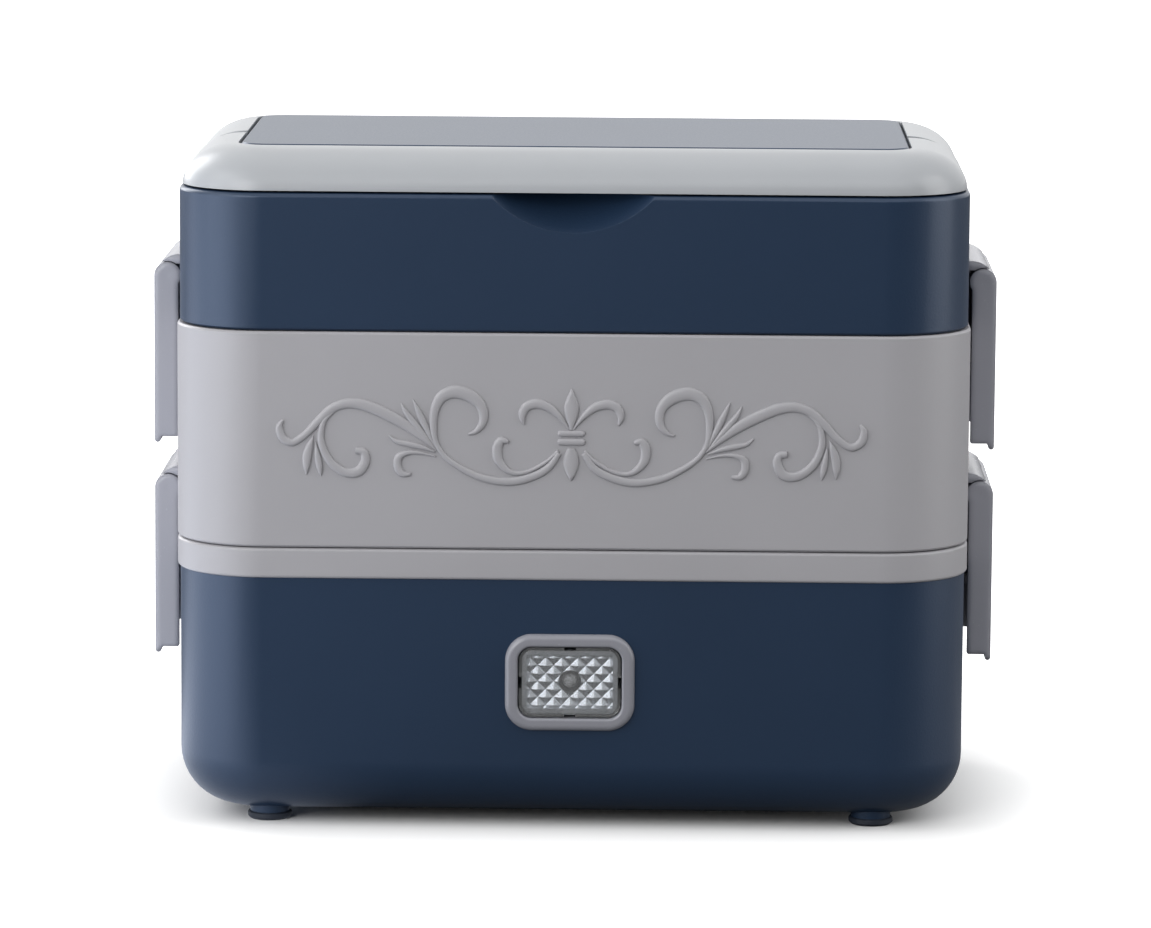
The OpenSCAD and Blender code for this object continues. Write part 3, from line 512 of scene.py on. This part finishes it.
class LUNCHBOX_OT_food(bpy.types.Operator):
    """Finish the steel boxes, their clear lids, the silicone seals and the other steel parts"""

    bl_idname = "lunchbox.food"
    bl_label = "Food boxes"

    def execute(self, context):
        steel = brushed_steel()
        dress(["lower_container", "upper_container", "heating_pan", "heater_strap", "thermostat",
               "bottom_screws", "handle_pins", "upper_latch_pins", "lower_latch_pins"], steel)
        # polypropylene: cloudy and a little blue
        lid = clear("natural_polypropylene", srgb("#dfe6ec"), roughness=0.25, ior=1.49, milk=0.35)
        dress(["lower_container_lid", "upper_container_lid"], lid, 0.3 * MM)
        # silicone: soft, off-white and dull
        seal = surface("silicone_rubber", srgb("#e3e3de"), roughness=0.55, grain=1 * MM, depth=0.01 * MM,
                       **{"Subsurface Weight": 0.2, "Subsurface Radius": (1, 1, 1), "Subsurface Scale": 1.0 * MM})
        dress(["tier_seal", "lid_seal"], seal, 0.3 * MM)
        return {"FINISHED"}


class LUNCHBOX_OT_works(bpy.types.Operator):
    """Finish the heater, the thermal fuse, the wires, the switch and the mains inlet"""

    bl_idname = "lunchbox.works"
    bl_label = "Electrical parts"

    def execute(self, context):
        block = surface("extruded_aluminium", srgb("#b4b6b9"), roughness=0.38, grain=0.6 * MM,
                        depth=0.006 * MM, Metallic=1.0)
        dress(["heater_block"], block)
        glaze = surface("glazed_ceramic", srgb("#e6e4da"), roughness=0.2, grain=2 * MM, depth=0.01 * MM)
        dress(["thermal_fuse"], glaze, 0.2 * MM)
        nylon = surface("black_nylon", srgb("#1b1c1f"), roughness=0.42, grain=0.6 * MM, depth=0.02 * MM)
        dress(["inlet_socket", "switch_body"], nylon, 0.25 * MM)
        brass = surface("nickelled_brass", srgb("#d2c9ae"), roughness=0.22, grain=1 * MM,
                        depth=0.003 * MM, Metallic=1.0)
        dress(["inlet_pins"], brass, 0.2 * MM)
        sleeve = surface("wire_sleeve", srgb("#a8352e"), roughness=0.45, grain=0.5 * MM, depth=0.02 * MM)
        dress(["wiring"], sleeve)
        return {"FINISHED"}


# ---------- the stage ----------

# The camera fitted to the photograph: degrees down, to the side and rolled, and its place in metres
CAMERA_ANGLES = (8.449, -0.986, 0.39)
CAMERA_PLACE = (0.03087, -1.78766, 0.36587)
SENSOR_WIDTH = 36.0
CLIP = (0.05, 50.0)

# Each lamp's name, power setting, size, place and target. Tall softboxes stand on the floor at both sides,
# so that the upright corners mirror them
LAMPS = (
    ("left_softbox", "key_power", (1.0, 1.6), (-1.19, -0.63, 0.8), (0, 0, 0.6)),
    ("rear_softbox", "rear_power", (0.8, 1.2), (-1.2, 1.2, 0.8), (0, 0, 0.4)),
    ("right_softbox", "right_power", (0.9, 1.4), (1.34, -0.2, 0.7), (0, 0, 0.5)),
    ("front_lamp", "front_power", (0.8, 0.8), (-0.81, -1.40, 0.62), (0, 0, 0.1)),
    ("canopy", "canopy_power", (1.4, 0.6), (0.35, -1.2, 1.1), (0, 0, 0.1)),
    ("top_lamp", "top_power", (0.9, 0.9), (0.0, 0.3, 1.4), (0, 0, 0.1)),
)

FLOOR_HALF = 8.0
FOOTPRINT = (0.1, 0.05, 0)  # half width and half depth of the floor that the box covers
FADE_START = 0.005  # distance past the footprint where the floor starts to fade to white
# The glow of the floor in what the box mirrors: its setting, its bearing from the box and its tone
GLOWS = (("floor_left", (-0.98, -0.2, 0), "#eaf1ff"), ("floor_right", (0.98, -0.17, 0), "#ffffff"))
GLOW_SPREAD = (0.65, 0.96)  # cosine to the bearing where a glow starts and where it is full
GLOW_REACH = (0.08, 0.22)  # distance from the box's middle where a glow starts and where it is full

ROOM_SIDE = Vector((-0.1, 0.5, 0.86)).normalized()  # the way to the bright side of the room
ROOM_SPREAD = (-0.6, 0.75)  # cosine to that way where the room is dark and where it is bright
DIFFUSE_CUT = 0.6  # share of the room and the glow that mirrors show but diffuse rays don't get


def less_for_diffuse(tree, rays):
    """1 for a ray of any kind but a diffuse one."""
    return maths(tree, "MULTIPLY_ADD", rays["Is Diffuse Ray"], -DIFFUSE_CUT, 1.0)


def painted_floor(s):
    """Pale matt floor that fades to white for the camera; other rays see it darker, with a glow at each side."""
    mat, tree, out = blank("painted_floor")
    place = add(tree, "ShaderNodeTexCoord").outputs["Object"]
    rays = add(tree, "ShaderNodeLightPath").outputs

    past = vector_maths(tree, "ABSOLUTE", place)
    past = vector_maths(tree, "SUBTRACT", past, FOOTPRINT)
    past = vector_maths(tree, "MAXIMUM", past, (0, 0, 0))
    away = vector_maths(tree, "LENGTH", past, result="Value")
    lift = add(tree, "ShaderNodeEmission", {
        "Color": WHITE, "Strength": ramp(tree, away, FADE_START, s.floor_fade)})
    pale = add(tree, "ShaderNodeBsdfDiffuse", {"Color": rgba(srgb("#f2f2f2"))})
    seen = add(tree, "ShaderNodeAddShader", {0: pale.outputs[0], 1: lift.outputs[0]})

    bearing = vector_maths(tree, "NORMALIZE", place)
    reach = vector_maths(tree, "LENGTH", place, result="Value")
    dimmed = maths(tree, "MULTIPLY", less_for_diffuse(tree, rays), ramp(tree, reach, *GLOW_REACH))
    mirrored = add(tree, "ShaderNodeBsdfDiffuse", {"Color": rgba(srgb("#7c7c7c"))})
    for setting, towards, tone in GLOWS:
        facing = vector_maths(tree, "DOT_PRODUCT", bearing, towards, result="Value")
        share = ramp(tree, facing, *GLOW_SPREAD, 0.0, getattr(s, setting), smooth=True)
        shine = add(tree, "ShaderNodeEmission", {
            "Color": rgba(srgb(tone)), "Strength": maths(tree, "MULTIPLY", share, dimmed)})
        mirrored = add(tree, "ShaderNodeAddShader", {0: mirrored.outputs[0], 1: shine.outputs[0]})

    above = add(tree, "ShaderNodeMixShader", {
        0: rays["Is Camera Ray"], 1: mirrored.outputs[0], 2: seen.outputs[0]})
    # from below the floor is clear, so that the underside of the box can be looked at
    under = add(tree, "ShaderNodeNewGeometry").outputs["Backfacing"]
    either = add(tree, "ShaderNodeMixShader", {
        0: under, 1: above.outputs[0], 2: add(tree, "ShaderNodeBsdfTransparent").outputs[0]})
    tree.links.new(either.outputs[0], out.inputs["Surface"])
    return mat


def studio_world(s):
    """A room that is bright behind and above and dark round the camera, and white where it is seen directly."""
    world = bpy.data.worlds.new("studio")
    world.use_nodes = True
    tree = world.node_tree
    tree.nodes.clear()
    out = add(tree, "ShaderNodeOutputWorld")
    rays = add(tree, "ShaderNodeLightPath").outputs
    towards = add(tree, "ShaderNodeTexCoord").outputs["Generated"]
    facing = vector_maths(tree, "DOT_PRODUCT", towards, tuple(ROOM_SIDE), result="Value")
    level = ramp(tree, facing, *ROOM_SPREAD, s.room_dark, s.room_bright, smooth=True)
    room = add(tree, "ShaderNodeBackground", {
        "Color": WHITE, "Strength": maths(tree, "MULTIPLY", level, less_for_diffuse(tree, rays))})
    white = add(tree, "ShaderNodeBackground", {"Color": WHITE, "Strength": 1.0})
    direct = maths(tree, "MAXIMUM", rays["Is Camera Ray"], rays["Is Transmission Ray"])
    both = add(tree, "ShaderNodeMixShader", {0: direct, 1: room.outputs[0], 2: white.outputs[0]})
    tree.links.new(both.outputs[0], out.inputs["Surface"])
    return world


def area_lamp(name, power, size, place, target):
    """A white rectangular soft lamp turned towards a point."""
    lamp = bpy.data.lights.new(name, "AREA")
    lamp.shape = "RECTANGLE"
    lamp.energy = power
    lamp.size, lamp.size_y = size
    obj = new_object(name, lamp)
    obj.location = place
    obj.rotation_euler = (Vector(target) - Vector(place)).to_track_quat("-Z", "Y").to_euler()


def fitted_camera(lens):
    """The camera, turned by its pitch, yaw and roll at its place."""
    cam = bpy.data.cameras.new("camera")
    cam.lens, cam.sensor_width, cam.sensor_fit = lens, SENSOR_WIDTH, "HORIZONTAL"
    cam.clip_start, cam.clip_end = CLIP
    obj = new_object("camera", cam)
    pitch, yaw, roll = (math.radians(a) for a in CAMERA_ANGLES)
    ahead = Vector((math.sin(yaw) * math.cos(pitch), math.cos(yaw) * math.cos(pitch), -math.sin(pitch)))
    right = ahead.cross(Vector((0, 0, 1))).normalized()
    up = right.cross(ahead)
    tilted_right = math.cos(roll) * right + math.sin(roll) * up
    tilted_up = -math.sin(roll) * right + math.cos(roll) * up
    axes = Matrix((tilted_right, tilted_up, -ahead)).transposed()
    obj.matrix_world = Matrix.Translation(CAMERA_PLACE) @ axes.to_4x4()
    return obj


class LUNCHBOX_OT_stage(bpy.types.Operator):
    """Lay the pale floor, set the lamps and place the camera"""

    bl_idname = "lunchbox.stage"
    bl_label = "Stage"

    def execute(self, context):
        s = context.scene.lunchbox_stage
        scene = context.scene
        scene.view_settings.view_transform = "Standard"
        mesh = bpy.data.meshes.new("floor")
        h = FLOOR_HALF
        mesh.from_pydata([(-h, -h, 0), (h, -h, 0), (h, h, 0), (-h, h, 0)], [], [(0, 1, 2, 3)])
        mesh.materials.append(painted_floor(s))
        floor = new_object("floor", mesh)
        scene.world = studio_world(s)
        for name, power, *where in LAMPS:
            area_lamp(name, getattr(s, power), *where)
        scene.camera = fitted_camera(s.lens)
        return {"FINISHED"}


class LUNCHBOX_PT_panel(bpy.types.Panel):
    """Lists the pieces of the lunch box"""

    bl_idname = "LUNCHBOX_PT_panel"
    bl_label = "Lunch Box"
    bl_space_type = "VIEW_3D"
    bl_region_type = "UI"
    bl_category = "Lunch Box"

    def draw(self, context):
        for operator in OPERATORS:
            self.layout.operator(operator.bl_idname)
        for group in SETTINGS:
            box = self.layout.box()
            settings = getattr(context.scene, group)
            for key in SETTINGS[group].__annotations__:
                box.prop(settings, key)


SETTINGS = {
    "lunchbox_casing": CasingSettings,
    "lunchbox_trim": TrimSettings,
    "lunchbox_ornament": OrnamentSettings,
    "lunchbox_stage": StageSettings,
}
OPERATORS = (
    LUNCHBOX_OT_stage, LUNCHBOX_OT_casing, LUNCHBOX_OT_handle, LUNCHBOX_OT_latches, LUNCHBOX_OT_button,
    LUNCHBOX_OT_ornament, LUNCHBOX_OT_food, LUNCHBOX_OT_works,
)
CLASSES = (*SETTINGS.values(), *OPERATORS, LUNCHBOX_PT_panel)


def register():
    for cls in CLASSES:
        bpy.utils.register_class(cls)
    for name, group in SETTINGS.items():
        setattr(bpy.types.Scene, name, PointerProperty(type=group))


def unregister():
    for name in SETTINGS:
        delattr(bpy.types.Scene, name)
    for cls in reversed(CLASSES):
        bpy.utils.unregister_class(cls)


def main():
    register()
    for operator in OPERATORS:
        group, name = operator.bl_idname.split(".")
        getattr(getattr(bpy.ops, group), name)()


if __name__ == "__main__":
    main()
